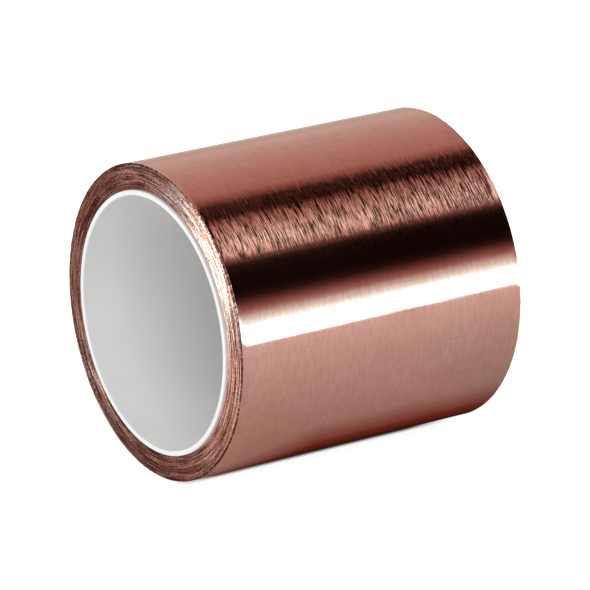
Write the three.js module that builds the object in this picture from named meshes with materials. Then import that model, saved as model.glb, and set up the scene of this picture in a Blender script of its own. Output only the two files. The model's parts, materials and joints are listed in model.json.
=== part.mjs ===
// A roll of copper foil tape on a plastic core, lying on its side.
// Millimetres, +Z up. The roll's axis is Y, and the origin is the middle of its bore.
//
// The web is three layers wound together: paper release liner inside, adhesive, bare copper outside.
// Its last stretch is a free tail that bends at two lines: tail_lift raises the whole web off the
// roll, and foil_peel parts the last of the foil and its adhesive from the liner.
import * as THREE from 'three';

// Core: a plain tube for a 3 inch spindle
const BORE_RADIUS = 38.1;
const CORE_WALL = 1.6;
const CORE_LENGTH = 100;
const CORE_CHAMFER = 0.3;
const CORE_RADIUS = BORE_RADIUS + CORE_WALL;

// Web
const WEB_WIDTH = 98.6;
const LINER_THICKNESS = 0.06;
const ADHESIVE_THICKNESS = 0.03;
const FOIL_THICKNESS = 0.035;
const TURNS = 62;
const LAYER_GAP = 0.004; // air left between layers that lie against each other
const PITCH = LINER_THICKNESS + ADHESIVE_THICKNESS + FOIL_THICKNESS;

// Angles around the roll, in degrees from +X towards +Z
const WEB_END = 198;
const TAIL_BEND = 150;
const PEEL_BEND = 168;
const WEB_START = WEB_END - 360 * TURNS;
const OUTER_TURN_START = WEB_END - 360;
const BEND_GAP = 0.36; // about 0.3 mm of web left out at each bend line
const SEAM_GAP = 0.01;

// Start tab: double-sided tape between the core and the first stretch of web
const TAB_FROM = WEB_END;
const TAB_TO = WEB_END + 24;
const TAB_THICKNESS = 0.05;
const TAB_WIDTH = 90;

// Every round is a polygon with its corners on the same rays, so that neighbouring layers nest.
// The rays straddle -Z, which puts a flat facet on the floor.
const FACETS = 96;
const FACET_ANGLE = 360 / FACETS;

const MATERIALS = {
  core: new THREE.MeshStandardMaterial({ color: 0xf1f1ee, roughness: 0.4, metalness: 0 }),
  copper: new THREE.MeshStandardMaterial({ color: 0xc08474, roughness: 0.28, metalness: 1 }),
  adhesive: new THREE.MeshStandardMaterial({ color: 0xd9cfb4, roughness: 0.2, metalness: 0 }),
  liner: new THREE.MeshStandardMaterial({ color: 0xe9e2d2, roughness: 0.7, metalness: 0 }),
  tab: new THREE.MeshStandardMaterial({ color: 0xd8e0d6, roughness: 0.3, metalness: 0 }),
};

// Radius of the web's inner side at an angle that counts the turns
const spiral = (angle) => CORE_RADIUS + (PITCH * (angle - WEB_START)) / 360;

const onRay = (angle, radius) => {
  const radians = THREE.MathUtils.degToRad(angle);
  return new THREE.Vector2(radius * Math.cos(radians), radius * Math.sin(radians));
};

// Point of a faceted round at any angle: on the chord between the two corners beside it
function facetPoint(angle, radiusAt) {
  const corner = (Math.floor(angle / FACET_ANGLE - 0.5) + 0.5) * FACET_ANGLE;
  const next = corner + FACET_ANGLE;
  const along = (angle - corner) / FACET_ANGLE;
  return onRay(corner, radiusAt(corner)).lerp(onRay(next, radiusAt(next)), along);
}

// Points of a faceted round between two angles, with every corner in between
function facetArc(from, to, radiusAt) {
  const angles = [from];
  for (let k = Math.ceil(from / FACET_ANGLE - 0.5); (k + 0.5) * FACET_ANGLE < to; k += 1) {
    if ((k + 0.5) * FACET_ANGLE > from) angles.push((k + 0.5) * FACET_ANGLE);
  }
  angles.push(to);
  return angles.map((angle) => facetPoint(angle, radiusAt));
}

// A cross-section in X and Z becomes a solid of the given width along Y, centred on the roll
function acrossRoll(name, shape, width, material) {
  const geometry = new THREE.ExtrudeGeometry(shape, { depth: width, bevelEnabled: false });
  const mesh = new THREE.Mesh(geometry, material);
  mesh.name = name;
  mesh.rotation.x = Math.PI / 2;
  mesh.position.y = width / 2;
  return mesh;
}

// One layer of the web between two angles, from one height to another above the web's inner side
function webLayer(name, from, to, low, high, material) {
  const outside = facetArc(from, to, (angle) => spiral(angle) + high);
  const inside = facetArc(from, to, (angle) => spiral(angle) + low + LAYER_GAP);
  return acrossRoll(name, new THREE.Shape([...outside, ...inside.reverse()]), WEB_WIDTH, material);
}

const ADHESIVE_BASE = LINER_THICKNESS;
const FOIL_BASE = LINER_THICKNESS + ADHESIVE_THICKNESS;

const linerLayer = (name, from, to) => webLayer(name, from, to, 0, ADHESIVE_BASE, MATERIALS.liner);
const adhesiveLayer = (name, from, to) => (
  webLayer(name, from, to, ADHESIVE_BASE, FOIL_BASE, MATERIALS.adhesive));
const foilLayer = (name, from, to) => webLayer(name, from, to, FOIL_BASE, PITCH, MATERIALS.copper);

function makeCore() {
  const half = CORE_LENGTH / 2;
  const profile = [
    new THREE.Vector2(BORE_RADIUS + CORE_CHAMFER, -half),
    new THREE.Vector2(CORE_RADIUS - CORE_CHAMFER, -half),
    new THREE.Vector2(CORE_RADIUS, -half + CORE_CHAMFER),
    new THREE.Vector2(CORE_RADIUS, half - CORE_CHAMFER),
    new THREE.Vector2(CORE_RADIUS - CORE_CHAMFER, half),
    new THREE.Vector2(BORE_RADIUS + CORE_CHAMFER, half),
    new THREE.Vector2(BORE_RADIUS, half - CORE_CHAMFER),
    new THREE.Vector2(BORE_RADIUS, -half + CORE_CHAMFER),
    new THREE.Vector2(BORE_RADIUS + CORE_CHAMFER, -half),
  ];
  const phase = THREE.MathUtils.degToRad(FACET_ANGLE / 2);
  const mesh = new THREE.Mesh(new THREE.LatheGeometry(profile, FACETS, phase), MATERIALS.core);
  mesh.name = 'core_tube';
  return mesh;
}

function makeStartTab() {
  const outside = facetArc(TAB_FROM, TAB_TO, () => CORE_RADIUS + LAYER_GAP + TAB_THICKNESS);
  const inside = facetArc(TAB_FROM, TAB_TO, () => CORE_RADIUS + LAYER_GAP);
  const shape = new THREE.Shape([...outside, ...inside.reverse()]);
  return acrossRoll('core_start_tab', shape, TAB_WIDTH, MATERIALS.tab);
}

// All turns but the last, wound tight into one body, with a step where the last turn begins
function makeWoundTurns() {
  const shape = new THREE.Shape(
    facetArc(OUTER_TURN_START - 360, OUTER_TURN_START, (angle) => spiral(angle) + PITCH));
  const rest = facetArc(TAB_TO + SEAM_GAP, TAB_FROM - SEAM_GAP + 360, () => CORE_RADIUS + LAYER_GAP);
  const pocket = facetArc(TAB_FROM - SEAM_GAP, TAB_TO + SEAM_GAP,
    () => CORE_RADIUS + TAB_THICKNESS + 2 * LAYER_GAP);
  shape.holes.push(new THREE.Path([...rest, ...pocket]));
  return acrossRoll('wound_turns', shape, WEB_WIDTH, MATERIALS.copper);
}

// The last turn, as far as the line where the tail bends
function makeOuterTurn() {
  const from = OUTER_TURN_START + SEAM_GAP;
  const to = TAIL_BEND - BEND_GAP / 2;
  return [
    linerLayer('outer_turn_liner', from, to),
    adhesiveLayer('outer_turn_adhesive', from, to),
    foilLayer('outer_turn_foil', from, to),
  ];
}

// The free tail: the liner runs to the end, and the foil and adhesive bend once more before it
function makeTail() {
  const from = TAIL_BEND + BEND_GAP / 2;
  const peelFrom = PEEL_BEND - BEND_GAP / 2;
  const peelTo = PEEL_BEND + BEND_GAP / 2;
  return [
    linerLayer('tail_liner', from, WEB_END),
    adhesiveLayer('tail_adhesive', from, peelFrom),
    foilLayer('tail_foil', from, peelFrom),
    adhesiveLayer('peel_end_adhesive', peelTo, WEB_END),
    foilLayer('peel_end_foil', peelTo, WEB_END),
  ];
}

const roll = new THREE.Group();
roll.name = 'copper_foil_tape_roll';
roll.add(makeCore(), makeStartTab(), makeWoundTurns(), ...makeOuterTurn(), ...makeTail());

export default roll;
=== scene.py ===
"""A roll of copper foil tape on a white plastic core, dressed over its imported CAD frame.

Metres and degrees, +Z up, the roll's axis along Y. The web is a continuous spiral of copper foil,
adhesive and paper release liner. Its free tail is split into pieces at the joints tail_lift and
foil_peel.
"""
import json
import math

import bpy
import numpy as np
from mathutils import Matrix, Vector, noise

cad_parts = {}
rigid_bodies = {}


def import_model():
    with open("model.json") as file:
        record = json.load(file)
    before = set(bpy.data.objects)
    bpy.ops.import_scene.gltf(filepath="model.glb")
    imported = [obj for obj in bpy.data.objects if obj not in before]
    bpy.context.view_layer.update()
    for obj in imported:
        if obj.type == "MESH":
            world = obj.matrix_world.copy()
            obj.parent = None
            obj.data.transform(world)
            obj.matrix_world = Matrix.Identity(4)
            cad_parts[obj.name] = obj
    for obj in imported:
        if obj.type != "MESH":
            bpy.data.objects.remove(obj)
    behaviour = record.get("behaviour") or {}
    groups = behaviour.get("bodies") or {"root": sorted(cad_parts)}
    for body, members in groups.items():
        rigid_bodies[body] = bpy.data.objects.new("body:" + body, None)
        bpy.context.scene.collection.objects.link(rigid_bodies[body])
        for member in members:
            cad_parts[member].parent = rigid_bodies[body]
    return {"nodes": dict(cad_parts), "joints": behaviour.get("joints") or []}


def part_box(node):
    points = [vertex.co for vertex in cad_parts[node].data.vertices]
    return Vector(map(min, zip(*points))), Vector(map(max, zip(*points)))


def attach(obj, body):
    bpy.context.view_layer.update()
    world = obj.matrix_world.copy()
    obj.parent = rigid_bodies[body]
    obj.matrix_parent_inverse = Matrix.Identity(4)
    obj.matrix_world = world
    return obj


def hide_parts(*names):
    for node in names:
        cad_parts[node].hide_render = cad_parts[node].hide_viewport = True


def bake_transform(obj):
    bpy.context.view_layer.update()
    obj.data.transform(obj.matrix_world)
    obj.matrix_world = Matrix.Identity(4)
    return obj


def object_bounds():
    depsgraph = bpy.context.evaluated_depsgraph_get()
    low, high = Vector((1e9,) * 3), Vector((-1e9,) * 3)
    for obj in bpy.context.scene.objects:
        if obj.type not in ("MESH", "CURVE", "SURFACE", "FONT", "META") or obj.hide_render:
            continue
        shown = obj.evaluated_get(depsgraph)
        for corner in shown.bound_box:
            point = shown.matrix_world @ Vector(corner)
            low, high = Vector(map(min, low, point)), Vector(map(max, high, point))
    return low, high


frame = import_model()
cad_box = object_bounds()

MM = 0.001


# ---------------------------------------------------------------- sizes

def node_points(node):
    """A CAD node's corners as an array."""
    return np.array([vertex.co for vertex in frame["nodes"][node].data.vertices])


def node_radii(node):
    """Smallest and largest distance of a CAD node's corners from the roll's axis."""
    points = node_points(node)
    radii = np.hypot(points[:, 0], points[:, 2])
    return radii.min(), radii.max()


def angle_of(point):
    """Angle around the roll, from +X towards +Z, from 0 to 360."""
    return math.degrees(math.atan2(point[2], point[0])) % 360


BORE_RADIUS, CORE_RADIUS = node_radii("core_tube")
CORE_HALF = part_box("core_tube")[1].y
WEB_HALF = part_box("wound_turns")[1].y
JOINTS = {joint["name"]: joint for joint in frame["joints"]}
BEND = {name: angle_of(joint["pos_m"]) for name, joint in JOINTS.items()}
WEB_END = max(angle_of(point) for point in node_points("peel_end_foil"))

# Thicknesses of the web's layers, from the roll's axis outward
LINER = 0.060 * MM
ADHESIVE = 0.030 * MM
FOIL = 0.035 * MM
PITCH = LINER + ADHESIVE + FOIL
FOIL_BASE = LINER + ADHESIVE
LAYER_GAP = 0.002 * MM
TURNS = 62
WEB_START = WEB_END - 360 * TURNS
OUTER_RADIUS = CORE_RADIUS + PITCH * TURNS
TAB_ARC = 24  # the liner is cut back here, where the start tab holds the web to the core

# The web is made in stretches that meet where nothing bends: the outer turn begins about one round
# before the first bend, and the tail begins a little before it
SEAM_LEAD = 2
TAIL_LEAD = 8
OUTER_START = BEND["tail_lift"] - 360 - SEAM_LEAD
TAIL_START = BEND["tail_lift"] - TAIL_LEAD
TAIL_MIDDLE = (BEND["tail_lift"] + BEND["foil_peel"]) / 2

TAIL_CURL = 0.22 * MM  # how far the free end springs off the roll
TAIL_CURL_ARC = 12  # degrees of web that curl


# ---------------------------------------------------------------- camera

CAMERA_AZIMUTH = math.radians(56.06)
CAMERA_ELEVATION = math.radians(19.44)
CAMERA_DISTANCE = 1.444
CAMERA_LENS = 295.5  # mm
CAMERA_SENSOR = 36  # mm
CAMERA_CLIP_END = 50

# How far the camera's axis passes beside the middle of the roll
AIM_RIGHT = 0.60 * MM
AIM_UP = -0.93 * MM


def make_camera():
    """A camera far away with a long lens, so that the roll shows little perspective."""
    sin_az, cos_az = math.sin(CAMERA_AZIMUTH), math.cos(CAMERA_AZIMUTH)
    sin_el, cos_el = math.sin(CAMERA_ELEVATION), math.cos(CAMERA_ELEVATION)
    back = Vector((sin_az * cos_el, -cos_az * cos_el, sin_el))
    right = Vector((cos_az, sin_az, 0))
    up = back.cross(right)
    data = bpy.data.cameras.new("camera")
    data.sensor_width = CAMERA_SENSOR
    data.lens = CAMERA_LENS
    data.clip_end = CAMERA_CLIP_END
    camera = bpy.data.objects.new("camera", data)
    place = right * AIM_RIGHT + up * AIM_UP + back * CAMERA_DISTANCE
    camera.matrix_world = Matrix.Translation(place) @ Matrix((right, up, back)).transposed().to_4x4()
    bpy.context.scene.collection.objects.link(camera)
    bpy.context.scene.camera = camera


# ---------------------------------------------------------------- node helpers

NOISE_RANGE = (0.3, 0.7)  # nearly all of a noise's values lie between these
OFF_GRID = (0.37, 0.71)  # keeps a noise off the corners of its lattice, where it is always the same


class Nodes:
    """A small helper that adds shader nodes and links them in one line each."""

    def __init__(self, tree):
        self.tree = tree
        tree.nodes.clear()

    def add(self, kind, settings=None, **inputs):
        node = self.tree.nodes.new("ShaderNode" + kind)
        for name, value in (settings or {}).items():
            setattr(node, name, value)
        for name, value in inputs.items():
            self.set(node, name.replace("_", " "), value)
        return node

    def set(self, node, name, value):
        socket = node.inputs[int(name)] if name.isdigit() else node.inputs[name]
        if isinstance(value, bpy.types.NodeSocket):
            self.tree.links.new(value, socket)
        else:
            socket.default_value = value

    def math(self, operation, a, b=0.0, c=0.0):
        node = self.add("Math", {"operation": operation})
        for index, value in enumerate((a, b, c)):
            self.set(node, str(index), value)
        return node.outputs[0]

    def mix(self, factor, a, b):
        node = self.add("Mix", {"data_type": "RGBA"})
        for index, value in ((0, factor), (6, a), (7, b)):
            self.set(node, str(index), value)
        return node.outputs[2]

    def vector(self, operation, a, b=None, scale=None):
        node = self.add("VectorMath", {"operation": operation})
        for name, value in (("0", a), ("1", b), ("Scale", scale)):
            if value is not None:
                self.set(node, name, value)
        return node.outputs["Value" if operation in ("LENGTH", "DOT_PRODUCT") else "Vector"]

    def noise(self, scale, detail=3.0, roughness=0.55, shift=0.0):
        """Noise in the object's own space. scale is in waves per metre along X, Y and Z."""
        place = self.add("TexCoord").outputs["Object"]
        mapped = self.add("Mapping", Vector=place, Scale=scale, Location=(shift, shift, shift))
        texture = self.add("TexNoise", Vector=mapped.outputs[0], Scale=1.0, Detail=detail,
                           Roughness=roughness)
        return texture.outputs[0]

    def from_axis(self):
        """The vector from the roll's axis to the shaded point."""
        return self.vector("MULTIPLY", self.add("TexCoord").outputs["Object"], (1, 0, 1))

    def outward(self):
        return self.vector("NORMALIZE", self.from_axis())

    def arc_noise(self, across, around, detail=3.0, shift=0.0):
        """Noise drawn out into arcs. across is its waves per metre of radius, and the arcs are about
        1 / around radians long."""
        radius = self.vector("LENGTH", self.from_axis())
        depth = self.math("MULTIPLY_ADD", radius, across, shift)
        place = self.add("CombineXYZ", X=OFF_GRID[0], Y=depth, Z=OFF_GRID[1])
        place = self.vector("ADD", self.vector("SCALE", self.outward(), scale=around), place.outputs[0])
        return self.add("TexNoise", Vector=place, Scale=1.0, Detail=detail).outputs[0]

    def spread(self, value, low, high, to_low, to_high):
        """Maps a range of values onto another, without running past its ends."""
        node = self.add("MapRange")
        for index, number in enumerate((value, low, high, to_low, to_high)):
            self.set(node, str(index), number)
        return node.outputs[0]

    def blotches(self, field, dark, light):
        """Two colours shared out by a noise."""
        return self.mix(self.spread(field, *NOISE_RANGE, 0, 1), dark, light)

    def bump(self, height, distance, normal=None):
        node = self.add("Bump", Height=height, Distance=distance, Strength=1.0)
        if normal is not None:
            self.set(node, "Normal", normal)
        return node.outputs[0]

    def lean(self, normal, direction, amount):
        """Leans a surface's normal, as lines too fine for geometry do."""
        push = self.vector("SCALE", direction, scale=amount)
        return self.vector("NORMALIZE", self.vector("ADD", normal, push))


def new_material(name):
    material = bpy.data.materials.new(name)
    material.use_nodes = True
    return material, Nodes(material.node_tree)


def finish_material(material, nodes, shader):
    nodes.add("OutputMaterial", Surface=shader.outputs[0])
    return material


# ---------------------------------------------------------------- materials

ALONG_ROLL = (0, 1, 0)

# Stretches around the roll with deeper strokes: the angle of the middle, the angles on either side of
# it where the strokes are still full and where they are gone, and how strong they are when full
SCUFFS = ((46, 8, 20, 1.0), (232, 30, 70, 0.5))
SCUFFED_LEAST = 0.10  # strength of the strokes everywhere else
STROKE_LEAN = 0.19  # how far a stroke tips the surface along the roll
FINE_STROKE_LEAN = 0.025
RIPPLE_HEIGHT = 0.006 * MM

COPPER_WORN = (0.80, 0.42, 0.335, 1)
COPPER_CLEAN = (0.86, 0.48, 0.39, 1)
COPPER_GRAIN = (0.68, 0.31, 0.235, 1)
COPPER_DRAWN = (0.45, 0.18, 0.13, 1)
COPPER_STROKE = (0.30, 0.10, 0.07, 1)
COPPER_GRAZING = (0.97, 0.84, 0.79, 1)


def strokes(n, scale, quiet, full, shift=0.0):
    """Separate fine lines that lean one way or the other, from -1 to 1, with flat metal between them."""
    field = n.noise(scale, detail=2, shift=shift)
    one_way = n.spread(field, 0.5 + quiet, 0.5 + full, 0, 1)
    other_way = n.spread(field, 0.5 - quiet, 0.5 - full, 0, 1)
    return n.math("SUBTRACT", one_way, other_way)


def scuffed(n):
    """How strong the strokes are at each place around the roll."""
    strength = SCUFFED_LEAST
    for middle, full, gone, most in SCUFFS:
        side = (math.cos(math.radians(middle)), 0, math.sin(math.radians(middle)))
        patch = n.spread(n.vector("DOT_PRODUCT", n.outward(), side), math.cos(math.radians(gone)),
                         math.cos(math.radians(full)), 0, most)
        strength = n.math("MAXIMUM", patch, strength)
    return strength


def copper_face_material():
    """Bare rolled foil. It is nearly a mirror, with fine strokes around the roll and faint lines along
    it."""
    material, n = new_material("rolled_copper")
    stains = n.noise((22, 30, 22), detail=4)
    grain = n.noise((260, 900, 260), detail=4)
    drawn = n.noise((1500, 60, 1500), detail=3, shift=11.0)
    coarse = n.math("MULTIPLY", strokes(n, (230, 5000, 230), 0.01, 0.16), scuffed(n))
    fine = strokes(n, (420, 4600, 420), 0.02, 0.2, shift=7.0)
    ripples = n.noise((800, 8, 800), detail=2, shift=3.0)

    colour = n.blotches(stains, COPPER_WORN, COPPER_CLEAN)
    colour = n.mix(n.spread(grain, 0.42, 0.62, 0, 0.32), colour, COPPER_GRAIN)
    colour = n.mix(n.spread(drawn, 0.54, 0.68, 0, 0.13), colour, COPPER_DRAWN)
    colour = n.mix(n.math("MULTIPLY", n.math("ABSOLUTE", coarse), 0.3), colour, COPPER_STROKE)
    amount = n.math("ADD", n.math("MULTIPLY", coarse, STROKE_LEAN),
                    n.math("MULTIPLY", fine, FINE_STROKE_LEAN))
    normal = n.lean(n.bump(ripples, RIPPLE_HEIGHT), ALONG_ROLL, amount)
    roughness = n.spread(stains, *NOISE_RANGE, 0.07, 0.11)
    tangent = n.add("CombineXYZ", Y=1.0)
    shader = n.add("BsdfPrincipled", Base_Color=colour, Metallic=1.0, Roughness=roughness,
                   Specular_Tint=COPPER_GRAZING, Normal=normal, Anisotropic=0.7,
                   Tangent=tangent.outputs[0])
    return finish_material(material, n, shader)


EDGE_DEEP = (0.38, 0.075, 0.036, 1)
EDGE_BRIGHT = (0.82, 0.35, 0.24, 1)
EDGE_LINE_HIGHLIGHT = (0.95, 0.70, 0.61, 1)
EDGE_GAP_SHADE = (0.07, 0.016, 0.010, 1)
EDGE_SPECK = (0.10, 0.025, 0.016, 1)
EDGE_RIM_DARK = (0.06, 0.014, 0.008, 1)
DARK_RIM = (OUTER_RADIUS - 0.55 * MM, OUTER_RADIUS - 0.35 * MM)  # the dark dashes begin between these
FLECK_HEIGHT = 0.03 * MM


def copper_edge_material():
    """The slit edges of the foil, dragged by the knife into grooves that run around the roll, with
    painted highlights on their lines and painted shade between them. The outermost ones are darker in
    dashes."""
    material, n = new_material("slit_copper_edge")
    bands = n.arc_noise(1300, 1.4, detail=2)
    lines = n.arc_noise(4200, 5.0, detail=3, shift=20.0)
    flecks = n.noise((1500, 300, 1500), detail=2)
    colour = n.mix(n.spread(bands, 0.38, 0.62, 0, 1), EDGE_DEEP, EDGE_BRIGHT)
    # painted highlight: whitish lines along the edges
    colour = n.mix(n.spread(lines, 0.53, 0.67, 0, 0.9), colour, EDGE_LINE_HIGHLIGHT)
    # painted shade in the gaps between the edge lines
    colour = n.mix(n.spread(lines, 0.47, 0.36, 0, 0.9), colour, EDGE_GAP_SHADE)
    colour = n.mix(n.spread(flecks, 0.55, 0.66, 0, 0.75), colour, EDGE_SPECK)
    # painted glints: light flecks
    colour = n.mix(n.spread(flecks, 0.42, 0.32, 0, 0.4), colour, EDGE_LINE_HIGHLIGHT)

    outermost = n.spread(n.vector("LENGTH", n.from_axis()), *DARK_RIM, 0, 1)
    rim_dashes = n.spread(n.arc_noise(700, 60.0, detail=2, shift=9.0), 0.42, 0.5, 0, 0.85)
    colour = n.mix(n.math("MULTIPLY", outermost, rim_dashes), colour, EDGE_RIM_DARK)
    groove = n.spread(n.arc_noise(2600, 2.6, detail=3, shift=40.0), *NOISE_RANGE, -0.2, 0.5)
    normal = n.lean(n.bump(flecks, FLECK_HEIGHT), n.outward(), groove)
    shader = n.add("BsdfPrincipled", Base_Color=colour, Metallic=1.0, Roughness=0.46, Normal=normal)
    return finish_material(material, n, shader)


# Copper dust and painted shade on the sunken paper and adhesive edges
DUSTY_SHADE_DARK = (0.045, 0.012, 0.008, 1)
DUSTY_SHADE_LIGHT = (0.15, 0.05, 0.034, 1)


def stained_edge_material():
    """The cut edges of paper and adhesive, browned by copper dust and by painted shade, as they sit back
    between the foil's edges.
    """
    material, n = new_material("dusty_shaded_edge")
    dust_and_shade = n.arc_noise(5000, 5.0, detail=3)
    colour = n.mix(n.spread(dust_and_shade, 0.35, 0.65, 0, 1), DUSTY_SHADE_DARK, DUSTY_SHADE_LIGHT)
    normal = n.bump(n.noise((2000, 900, 2000), detail=2), 0.01 * MM)
    shader = n.add("BsdfPrincipled", Base_Color=colour, Roughness=0.7, Normal=normal)
    return finish_material(material, n, shader)


PAPER_FIBRE = (0.66, 0.55, 0.42, 1)
PAPER_PALE = (0.83, 0.76, 0.64, 1)
PAPER_CLOUD = (0.72, 0.6, 0.44, 1)


def liner_material():
    """Thin glazed kraft paper, with fibres and a slightly uneven tone."""
    material, n = new_material("liner_paper")
    fibres = n.noise((1800, 900, 1800), detail=5, roughness=0.7)
    cloud = n.noise((60, 60, 60), detail=3)
    colour = n.blotches(fibres, PAPER_FIBRE, PAPER_PALE)
    colour = n.mix(n.spread(cloud, *NOISE_RANGE, 0, 0.3), colour, PAPER_CLOUD)
    normal = n.bump(fibres, 0.01 * MM)
    roughness = n.spread(cloud, *NOISE_RANGE, 0.45, 0.62)
    shader = n.add("BsdfPrincipled", Base_Color=colour, Roughness=roughness, Normal=normal)
    return finish_material(material, n, shader)


GLUE_THIN = (0.62, 0.36, 0.26, 1)
GLUE_THICK = (0.74, 0.5, 0.36, 1)


def adhesive_material():
    """A tacky, slightly milky film with the copper's colour coming through."""
    material, n = new_material("adhesive_film")
    flow = n.noise((140, 380, 140), detail=4)
    normal = n.bump(flow, 0.02 * MM)
    roughness = n.spread(flow, *NOISE_RANGE, 0.12, 0.3)
    shader = n.add("BsdfPrincipled", Base_Color=n.blotches(flow, GLUE_THIN, GLUE_THICK),
                   Roughness=roughness, Normal=normal)
    return finish_material(material, n, shader)


CORE_GREY = (0.785, 0.78, 0.775, 1)
CORE_WHITE = (0.835, 0.83, 0.825, 1)


def core_material():
    """White extruded plastic with faint die lines along the bore and a soft satin skin."""
    material, n = new_material("core_plastic")
    die_lines = n.noise((420, 6, 420), detail=3)
    cloud = n.noise((30, 22, 30), detail=3)
    skin = n.noise((1500, 1500, 1500), detail=2)
    normal = n.bump(skin, 0.003 * MM, n.bump(die_lines, 0.01 * MM))
    roughness = n.spread(cloud, *NOISE_RANGE, 0.38, 0.5)
    shader = n.add("BsdfPrincipled", Base_Color=n.blotches(cloud, CORE_GREY, CORE_WHITE),
                   Roughness=roughness, Normal=normal)
    return finish_material(material, n, shader)


TAB_CLEAR = (0.72, 0.76, 0.72, 1)
TAB_MILKY = (0.85, 0.88, 0.85, 1)


def tab_material():
    """Clear double-sided tape, which looks milky between core and web."""
    material, n = new_material("start_tab_film")
    bubbles = n.noise((300, 300, 300), detail=4)
    colour = n.mix(n.spread(bubbles, 0.4, 0.6, 0, 1), TAB_CLEAR, TAB_MILKY)
    normal = n.bump(bubbles, 0.01 * MM)
    shader = n.add("BsdfPrincipled", Base_Color=colour, Roughness=0.22, Normal=normal)
    return finish_material(material, n, shader)


# ---------------------------------------------------------------- the web's shape

def spiral(angle):
    """Radius of the web's inner side at an angle that counts the turns."""
    return CORE_RADIUS + PITCH * (angle - WEB_START) / 360


def ring_noise(angle, across, around, seed):
    """Smooth noise that runs on from turn to turn. across is its waves per turn, and around sets how
    fine it is around the roll."""
    radians = np.radians(angle)
    turn = (angle - WEB_START) / 360
    points = np.stack((turn * across + seed, np.cos(radians) * around, np.sin(radians) * around), -1)
    return np.array([noise.noise(Vector(point)) for point in points])


def smooth_step(value, low, high):
    t = np.clip((value - low) / (high - low), 0, 1)
    return t * t * (3 - 2 * t)


# Unevenness of the winding's ends, as waves: their size in mm, how many in each turn, how fine they are
# around the roll, and their seed
STAND_OUT_WAVES = ((0.28, 0.13, 0.8, 0), (0.26, 0.42, 1.5, 5), (0.14, 1.3, 3.0, 9))
RAGGED_WAVES = (0.13, 2.0, 26.0, 13)
END_SEED = {-1: 11.3, 1: 47.9}
FIRST_TURNS_BACK = 0.5  # mm
LAST_TURNS_BACK = 0.2  # mm


def edge_stand_out(angle, side):
    """How far the web's edge stands out of the winding's flat end. The turns never line up quite: the
    first ones sit back beside the core, and the last ones are set back a little and ragged."""
    turn = (angle - WEB_START) / 360

    def waves(size, across, around, seed):
        return size * ring_noise(angle, across, around, END_SEED[side] + seed)

    stand_out = sum(waves(*each) for each in STAND_OUT_WAVES)
    stand_out += waves(*RAGGED_WAVES) * smooth_step(turn, TURNS - 4, TURNS - 1.5)
    stand_out -= FIRST_TURNS_BACK * (1 - smooth_step(turn, 1.5, 4.0))
    stand_out -= LAST_TURNS_BACK * smooth_step(turn, TURNS - 3, TURNS - 1.5)
    return MM * stand_out


def curl(angle):
    """How far the very end of the web springs off the roll."""
    along = np.clip((angle - (WEB_END - TAIL_CURL_ARC)) / TAIL_CURL_ARC, 0, 1)
    return TAIL_CURL * along ** 2


def station_angles(start, end, step):
    count = max(2, round((end - start) / step) + 1)
    return np.linspace(start, end, count)


SHARP_EDGE = math.radians(50)


def sweep(name, angles, heights, across, materials, material_of):
    """A closed strip: one ring of points at each angle, at the given heights above the web's inner side
    and places across the roll. Both are arrays with a row for each angle. material_of is the material
    of each face around the ring, and both ends have material 1."""
    count, around = heights.shape
    radians = np.radians(angles)[:, None]
    radius = spiral(angles)[:, None] + curl(angles)[:, None] + heights
    points = np.stack((radius * np.cos(radians), across, radius * np.sin(radians)), -1).reshape(-1, 3)
    row = np.arange(count - 1)[:, None] * around
    here = np.arange(around)[None, :]
    onward = (here + 1) % around
    quads = np.stack((row + here, row + around + here, row + around + onward, row + onward), -1)
    last = (count - 1) * around
    faces = quads.reshape(-1, 4).tolist()
    faces.append(list(range(around)))
    faces.append(list(range(last + around - 1, last - 1, -1)))
    mesh = bpy.data.meshes.new(name)
    mesh.from_pydata(points.tolist(), [], faces)
    for material in materials:
        mesh.materials.append(material)
    index = np.tile(np.asarray(material_of, np.int32), count - 1)
    mesh.polygons.foreach_set("material_index", np.append(index, (1, 1)).astype(np.int32))
    mesh.polygons.foreach_set("use_smooth", np.ones(len(faces), bool))
    mesh.set_sharp_from_angle(angle=SHARP_EDGE)
    mesh.update()
    piece = bpy.data.objects.new(name, mesh)
    bpy.context.scene.collection.objects.link(piece)
    return piece


LONG_WAVE = (20 * MM, 0.016 * MM)  # length along the roll, and height
LONG_WAVE_AROUND = 2.2
SHORT_WAVE_HEIGHT = 0.004 * MM
SHORT_WAVE_FINENESS = 3.1  # times as fine as the long wave
SHORT_WAVE_SEED = 5


def surface_waves(angles, place):
    """Slight unevenness of the outer side, so that reflections of straight edges wobble a little."""
    length, height = LONG_WAVE
    radians = np.radians(angles)
    points = np.stack((np.cos(radians) * LONG_WAVE_AROUND, place / length,
                       np.sin(radians) * LONG_WAVE_AROUND), -1)
    long_waves = np.array([noise.noise(Vector(point)) for point in points])
    points = points * SHORT_WAVE_FINENESS + SHORT_WAVE_SEED
    short_waves = np.array([noise.noise(Vector(point)) for point in points])
    return height * long_waves + SHORT_WAVE_HEIGHT * short_waves


BURR_LENGTH = 0.10 * MM  # the slit edge thickens over this last stretch
BURR_NOSE = 0.05 * MM  # how far back from its end it is thickest
BURR_OUT = 0.016 * MM  # how far it stands off the foil's outer side
BURR_IN = 0.044 * MM  # and off the inner side
BURR_CREST = 0.15  # where its end is, from its inner side to its outer side


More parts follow.
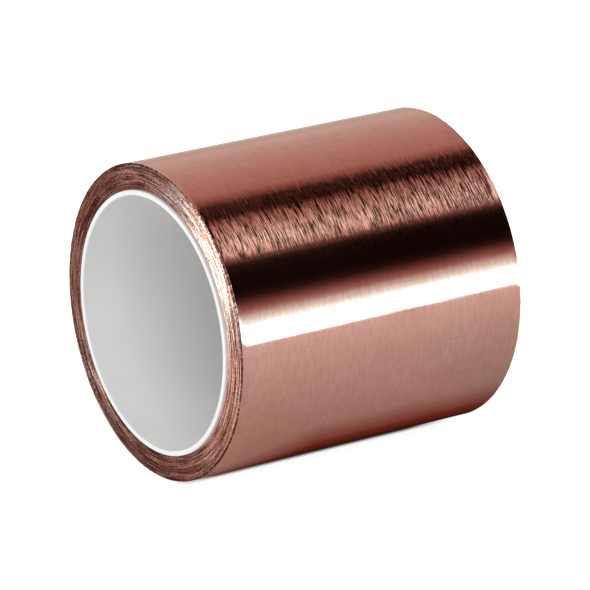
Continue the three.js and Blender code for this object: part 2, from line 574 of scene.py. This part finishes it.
def foil_strip(name, start, end, step, columns, materials):
    """Copper foil with burred edges. columns is how many faces its outer side has across the web."""
    angles = station_angles(start, end, step)
    near = -WEB_HALF - edge_stand_out(angles, -1)
    far = WEB_HALF + edge_stand_out(angles, 1)
    top = np.full(len(angles), PITCH)
    low = np.full(len(angles), FOIL_BASE + LAYER_GAP)
    crest = (low - BURR_IN) * (1 - BURR_CREST) + (top + BURR_OUT) * BURR_CREST
    rings = [
        (top + BURR_OUT, near + BURR_NOSE),
        (crest, near),
        (low - BURR_IN, near + BURR_NOSE),
        (low, near + BURR_LENGTH),
        (low, far - BURR_LENGTH),
        (low - BURR_IN, far - BURR_NOSE),
        (crest, far),
        (top + BURR_OUT, far - BURR_NOSE),
    ]
    edge_faces = [1, 1, 1, 0, 1, 1, 1, 0]
    for column in range(columns, -1, -1):
        t = column / columns
        place = (near + BURR_LENGTH) * (1 - t) + (far - BURR_LENGTH) * t
        rings.append((top + surface_waves(angles, place), place))
        edge_faces.append(0)
    heights = np.stack([ring[0] for ring in rings], 1)
    across = np.stack([ring[1] for ring in rings], 1)
    return sweep(name, angles, heights, across, materials, edge_faces)


def flat_strip(name, start, end, step, low, high, recess, materials):
    """A plain layer of the web between two heights, set back from the foil's edges. Its own edges have
    the second material."""
    angles = station_angles(start, end, step)
    near = -WEB_HALF - edge_stand_out(angles, -1) + recess
    far = WEB_HALF + edge_stand_out(angles, 1) - recess
    top = np.full(len(angles), high)
    bottom = np.full(len(angles), low + LAYER_GAP)
    heights = np.stack((top, bottom, bottom, top), 1)
    across = np.stack((near, near, far, far), 1)
    return sweep(name, angles, heights, across, materials, [1, 0, 1, 0])


# ---------------------------------------------------------------- the core

CORE_ROUND = 256
CORE_CHAMFER = 0.30 * MM
CHAMFER_STEPS = 4


def corner_arc(radius, y, start):
    """A rounded corner's points, turning a quarter circle about its centre."""
    angles = [math.radians(start + 90 * step / CHAMFER_STEPS) for step in range(CHAMFER_STEPS + 1)]
    return [(radius + CORE_CHAMFER * math.cos(a), y + CORE_CHAMFER * math.sin(a)) for a in angles]


def make_core(material):
    """The tube as a turned solid with rounded edges at both ends."""
    inner, outer = BORE_RADIUS + CORE_CHAMFER, CORE_RADIUS - CORE_CHAMFER
    end = CORE_HALF - CORE_CHAMFER
    profile = corner_arc(outer, end, 0) + corner_arc(inner, end, 90)
    profile += corner_arc(inner, -end, 180) + corner_arc(outer, -end, 270)
    around = len(profile)
    points, faces = [], []
    for step in range(CORE_ROUND):
        turn = 2 * math.pi * step / CORE_ROUND
        points += [(r * math.cos(turn), y, r * math.sin(turn)) for r, y in profile]
        first, second = step * around, (step + 1) % CORE_ROUND * around
        for k in range(around):
            following = (k + 1) % around
            faces.append((first + k, first + following, second + following, second + k))
    mesh = bpy.data.meshes.new("core")
    mesh.from_pydata(points, [], faces)
    mesh.materials.append(material)
    mesh.polygons.foreach_set("use_smooth", np.ones(len(faces), bool))
    mesh.update()
    core = bpy.data.objects.new("core", mesh)
    bpy.context.scene.collection.objects.link(core)
    return core


# ---------------------------------------------------------------- assembly

# Degrees between rings of points, in the hidden turns, the outer turn and the tail
ROUND_STEP = 360 / 132
FINE_STEP = 0.6
TAIL_STEP = 0.5
FINE_COLUMNS = 64  # faces across the web

# How far the paper and the adhesive are set back from the foil's edges
LINER_RECESS = 0.35 * MM
ADHESIVE_RECESS = 0.45 * MM


def dress(node):
    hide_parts(node)


def keep(piece, body, node):
    """A piece that stays whole on one body."""
    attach(piece, body)
    dress(node)


def bend(piece, node):
    """A piece left unattached, with its place baked into its mesh. Its CAD node is hidden."""
    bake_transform(piece)
    dress(node)


def make_roll():
    copper = [copper_face_material(), copper_edge_material()]
    dusty_shaded = stained_edge_material()
    paper, glue = [liner_material(), dusty_shaded], [adhesive_material(), dusty_shaded]

    def foil(name, start, end, step=TAIL_STEP, columns=FINE_COLUMNS):
        return foil_strip(name, start, end, step, columns, copper)

    def adhesive(name, start, end, step=TAIL_STEP):
        return flat_strip(name, start, end, step, LINER, FOIL_BASE, ADHESIVE_RECESS, glue)

    def liner(name, start, end, step=TAIL_STEP):
        return flat_strip(name, start, end, step, 0, LINER, LINER_RECESS, paper)

    keep(make_core(core_material()), "roll", "core_tube")
    tab = frame["nodes"]["core_start_tab"].data
    tab.materials.clear()
    tab.materials.append(tab_material())

    keep(foil("foil_inner_turns", WEB_START, OUTER_START, ROUND_STEP, columns=1),
         "roll", "wound_turns")
    keep(foil("foil_outer_turn", OUTER_START, TAIL_START, FINE_STEP),
         "roll", "outer_turn_foil")
    keep(adhesive("adhesive_turns", WEB_START, TAIL_START, ROUND_STEP),
         "roll", "outer_turn_adhesive")
    keep(liner("liner_turns", WEB_START + TAB_ARC, TAIL_START, ROUND_STEP),
         "roll", "outer_turn_liner")

    bend(foil("foil_tail", TAIL_START, TAIL_MIDDLE), "tail_foil")
    bend(foil("foil_free_end", TAIL_MIDDLE, WEB_END), "peel_end_foil")
    bend(adhesive("adhesive_tail", TAIL_START, TAIL_MIDDLE), "tail_adhesive")
    bend(adhesive("adhesive_free_end", TAIL_MIDDLE, WEB_END),
         "peel_end_adhesive")
    bend(liner("liner_tail", TAIL_START, WEB_END), "tail_liner")


# ---------------------------------------------------------------- studio

# Long soft strips and dark cards stand around the roll, parallel to its axis. Each stop is an angle
# around the axis, from +X towards +Z, and how bright the studio is there.
STUDIO_STOPS = (
    (0, 2.3), (6, 1.8), (9, 1.05), (13, 0.72), (17, 0.36), (21, 0.18), (24, 0.07), (27, 0.018),
    (32, 0.006), (49, 0.01), (52.5, 0.08), (54.5, 0.30), (57, 0.44), (64, 0.50), (73, 0.38), (80, 0.26),
    (83, 0.17), (85.5, 0.018), (97, 0.018), (100, 0.045), (104, 0.24), (109, 0.42), (129, 0.53),
    (145, 0.57), (165, 0.66), (180, 0.58), (205, 0.75), (330, 0.70), (350, 0.80), (351, 2.3), (360, 2.3),
)
WARM_ARC = (98, 140)
WARM_TINT = 0.86

# Green and blue as shares of red: the share at level 0, what it gains with the level, and its limits
GREEN_SHARE = (0.18, 1.25, 0.42, 1.5)
BLUE_SHARE = (0.08, 1.38, 0.38, 1.9)

# Each pair here is where a change starts and where it is complete. Along the roll, they are how far a
# ray points along +Y, from -1 to 1.
STRIP_BEGINS = (0.05, 0.30)
STRIP_FADES = (0.495, 0.575)
LEFT_CARD_ENDS = (0.15, 0.45)
FRONT_ENDS = (-1.0, 0.1)
# Around the axis, they are parts of a full turn. The card's are counted from -X.
STRIP_LOW_EDGE = (40 / 360, 40 / 360 + 0.02)
STRIP_TOP_EDGE = (100 / 360, 100 / 360 + 0.01)
LEFT_CARD_SIDES = (0.26, 0.34)

STRIP_DIM = 0.25  # the share of the upper strip's light that is left at its far end
STRIP_BOOST = 2.6  # what is added to that share in the middle
COOLNESS = 1.03
STRIP_COOLNESS = 0.3
LEFT_CARD_COLOUR = (0.26, 0.10, 0.065, 1)
FRONT_LIGHT = (1.55, 0.03)  # soft light from the near side and from the far side


def studio_colour(degrees, level):
    """The dark cards are a warm brown, and the bright strips a cool white."""
    tint = WARM_TINT if WARM_ARC[0] < degrees < WARM_ARC[1] else 1.0

    def part(at_black, gain, least, most):
        share = min(most, max(least, at_black + gain * level)) * tint
        return level * share

    return (level, part(*GREEN_SHARE), part(*BLUE_SHARE), 1.0)


def studio_ramp(n, turn):
    """The strips and cards around the axis, as one colour for each part of a full turn."""
    ramp = n.add("ValToRGB", Fac=turn)
    elements = ramp.color_ramp.elements
    while len(elements) < len(STUDIO_STOPS):
        elements.new(1.0)
    for element, (degrees, level) in zip(elements, STUDIO_STOPS):
        element.position = degrees / 360
        element.color = studio_colour(degrees, level)
    return ramp.outputs[0]


def mirrored_studio(n, turn, along):
    """What the copper mirrors. The upper strip is brightest in the middle and fades quickly towards its
    far end. A brown card covers the left side, but for the far end."""
    nearness = n.math("POWER", n.spread(along, *STRIP_FADES, 1, 0), 3.0)
    fade = n.math("MULTIPLY_ADD", nearness, STRIP_BOOST, STRIP_DIM)
    upper = n.math("MULTIPLY", n.spread(turn, *STRIP_LOW_EDGE, 0, 1),
                   n.spread(turn, *STRIP_TOP_EDGE, 1, 0))
    upper = n.math("MULTIPLY", upper, n.spread(along, *STRIP_BEGINS, 0, 1))
    gain = n.math("MULTIPLY_ADD", n.math("SUBTRACT", fade, 1.0), upper, 1.0)
    coolness = n.math("MULTIPLY_ADD", n.math("MULTIPLY", nearness, upper), STRIP_COOLNESS, COOLNESS)
    tint = n.add("CombineXYZ", X=1.0, Y=coolness, Z=coolness)
    strips = n.vector("MULTIPLY", n.vector("SCALE", studio_ramp(n, turn), scale=gain), tint.outputs[0])

    from_left = n.math("ABSOLUTE", n.math("SUBTRACT", turn, 0.5))
    card = n.math("MULTIPLY", n.spread(along, *LEFT_CARD_ENDS, 1, 0),
                  n.spread(from_left, *LEFT_CARD_SIDES, 1, 0))
    return n.mix(card, strips, LEFT_CARD_COLOUR)


def make_world():
    """White to the camera, strips and cards to what mirrors it, and a soft light from the near side to
    everything else."""
    world = bpy.data.worlds.new("studio")
    world.use_nodes = True
    bpy.context.scene.world = world
    n = Nodes(world.node_tree)
    direction = n.add("SeparateXYZ", Vector=n.add("TexCoord").outputs["Generated"])
    x, y, z = direction.outputs
    turn = n.math("FRACT", n.math("MULTIPLY", n.math("ARCTAN2", z, x), 1 / (2 * math.pi)))
    rays = n.add("LightPath")
    soft = n.math("MAXIMUM", rays.outputs["Is Camera Ray"], n.spread(y, *FRONT_ENDS, *FRONT_LIGHT))
    direct = n.math("LESS_THAN", rays.outputs["Diffuse Depth"], 0.5)
    colour = n.mix(n.math("MULTIPLY", rays.outputs["Is Glossy Ray"], direct), soft,
                   mirrored_studio(n, turn, y))
    background = n.add("Background", Color=colour, Strength=1.0)
    n.add("OutputWorld", Surface=background.outputs[0])


FLOOR_HALF = 6.0
FLOOR_GAP = 0.02 * MM
FLOOR_WHITE = (0.8, 0.8, 0.8, 1)
FLOOR_GLOW = 0.90
# A thin painted contact shadow on the floor along the roll's lowest line
CONTACT_SHADOW_ENDS = (11 * MM, 13 * MM)  # where the painted contact shadow ends, beside the roll's lowest line
CONTACT_SHADOW_UNDER = 0.7  # how far it is at its darkest along the roll, of the core's half length
CONTACT_SHADOW_COLOUR = (0.10, 0.05, 0.04, 1)
CONTACT_SHADOW_GLOW = 0.05

# The mirrored table's painted shadow and painted light change with the distance to the roll's lowest
# line. Each pair of distances is where a change starts and where it is complete.
TABLE_HALF = 0.47
TABLE_SHADE_FADES = (0.03, 0.16)
TABLE_UNDER_SHADE = (0.76, 0.765, 0.76, 1)
TABLE_AWAY = (0.93, 0.95, 0.95, 1)
# Painted light: the table glows more away from the roll
TABLE_LIGHTS_UP = (0.03, 0.30)
TABLE_PAINTED_GLOW = (0.07, 0.24)
# Painted shadow of the roll; the reddish brown at its edge is painted light thrown back by the copper
SHADE_EDGE = (24 * MM, 40 * MM)
SHADE_EDGE_COLOUR = (0.44, 0.13, 0.08, 1)
SHADE_CORE = (13 * MM, 26 * MM)
SHADE_CORE_COLOUR = (0.08, 0.015, 0.008, 1)
SHADE_TAPER = 0.5  # how quickly the shade narrows towards the near end
SHADE_TAPERS_FROM = -0.1  # of the core's half length
FOREGROUND = (-0.05, -0.10)  # along Y, in front of the near end, where a pool of light is painted on
FOREGROUND_PAINTED_GLOW = 0.6


def floor_plane(name, half_x, half_y, make_material):
    z = cad_box[0].z - FLOOR_GAP
    mesh = bpy.data.meshes.new(name)
    corners = [(-half_x, -half_y, z), (half_x, -half_y, z), (half_x, half_y, z), (-half_x, half_y, z)]
    mesh.from_pydata(corners, [], [(0, 1, 2, 3)])
    mesh.materials.append(make_material(name))
    floor = bpy.data.objects.new(name, mesh)
    bpy.context.scene.collection.objects.link(floor)
    floor.visible_diffuse = False
    floor.visible_shadow = False
    return floor


def glowing_white(name):
    """White that needs no light, but for a thin painted contact shadow where the roll touches it."""
    material, n = new_material(name)
    place = n.add("SeparateXYZ", Vector=n.add("TexCoord").outputs["Object"])
    # painted contact shadow: darker colour and less glow beside the roll's lowest line
    beside = n.spread(n.math("ABSOLUTE", place.outputs[0]), *CONTACT_SHADOW_ENDS, 1, 0)
    under = n.spread(n.math("ABSOLUTE", place.outputs[1]), CONTACT_SHADOW_UNDER * CORE_HALF, CORE_HALF, 1, 0)
    contact_shadow = n.math("MULTIPLY", beside, under)
    glow = n.math("MULTIPLY_ADD", contact_shadow, CONTACT_SHADOW_GLOW - FLOOR_GLOW, FLOOR_GLOW)
    shader = n.add("BsdfPrincipled", Base_Color=n.mix(contact_shadow, FLOOR_WHITE, CONTACT_SHADOW_COLOUR),
                   Roughness=0.9, Emission_Color=(1, 1, 1, 1), Emission_Strength=glow)
    return finish_material(material, n, shader)


def shaded_table(name):
    """Off-white, with painted light that makes it brighter in front of the roll. Where the roll rests on
    it there is a painted shadow, brown as if lit by the copper, which is narrower at the near end."""
    material, n = new_material(name)
    place = n.add("SeparateXYZ", Vector=n.add("TexCoord").outputs["Object"])
    distance = n.math("ABSOLUTE", place.outputs[0])
    nearer = n.math("SUBTRACT", SHADE_TAPERS_FROM * CORE_HALF, place.outputs[1])
    away = n.math("MULTIPLY_ADD", n.math("MAXIMUM", nearer, 0.0), SHADE_TAPER, distance)
    # painted shade: darker under the roll, then the painted brown shadow
    colour = n.mix(n.spread(distance, *TABLE_SHADE_FADES, 0, 1), TABLE_UNDER_SHADE, TABLE_AWAY)
    colour = n.mix(n.spread(away, *SHADE_EDGE, 1, 0), colour, SHADE_EDGE_COLOUR)
    colour = n.mix(n.spread(away, *SHADE_CORE, 1, 0), colour, SHADE_CORE_COLOUR)
    # painted light: a glow that rises away from the roll and in front of its near end
    glow = n.math("ADD", n.spread(distance, *TABLE_LIGHTS_UP, *TABLE_PAINTED_GLOW),
                  n.spread(place.outputs[1], *FOREGROUND, 0, FOREGROUND_PAINTED_GLOW))
    shader = n.add("BsdfPrincipled", Base_Color=colour, Roughness=0.9, Emission_Color=colour,
                   Emission_Strength=glow)
    return finish_material(material, n, shader)


def make_floor():
    """The floor is mostly self-lit, so that the roll's shadow on it stays faint. What the roll mirrors
    is a table top in its place, with the roll's whole shadow and a glow painted on. Beyond its edge
    at +X the roll mirrors the studio's brightest strip."""
    floor_plane("pale_floor", FLOOR_HALF, FLOOR_HALF, glowing_white).visible_glossy = False
    floor_plane("mirrored_table", TABLE_HALF, FLOOR_HALF, shaded_table).visible_camera = False


LIGHT_DISTANCE = 1.2

# Each light's direction from the roll, its size and its power
KEY = ((0.74, -0.34, 0.58), 0.42, 2.6)
GLINT = ((0.20, -0.84, 0.50), 0.6, 34)
GLINT_COLOUR = (0.47, 0.92, 1.13)
FILL = ((-0.5, 0.9, 0.6), 0.9, 1.5)


def area_light(name, direction, size, power):
    data = bpy.data.lights.new(name, "AREA")
    data.size = size
    data.energy = power
    light = bpy.data.objects.new(name, data)
    light.location = Vector(direction).normalized() * LIGHT_DISTANCE
    light.rotation_euler = (-light.location).to_track_quat("-Z", "Y").to_euler()
    bpy.context.scene.collection.objects.link(light)
    return light


def light_only(light, pieces):
    """Keeps a light off everything but these pieces."""
    receivers = bpy.data.collections.new(light.name + "_receivers")
    for piece in pieces:
        receivers.objects.link(piece)
    light.light_linking.receiver_collection = receivers


def make_lights():
    """A soft key to the right of the near end, a cool glint on the foil's slit edges, and a weak fill
    behind. Only the glint is mirrored."""
    area_light("key", *KEY).visible_glossy = False
    glint = area_light("glint", *GLINT)
    glint.visible_diffuse = False
    glint.data.color = GLINT_COLOUR
    light_only(glint, [piece for piece in bpy.data.objects if piece.name.startswith("foil_")])
    area_light("fill", *FILL).visible_glossy = False


make_camera()
make_roll()
make_world()
make_floor()
make_lights()

bpy.context.scene.view_settings.view_transform = "Standard"
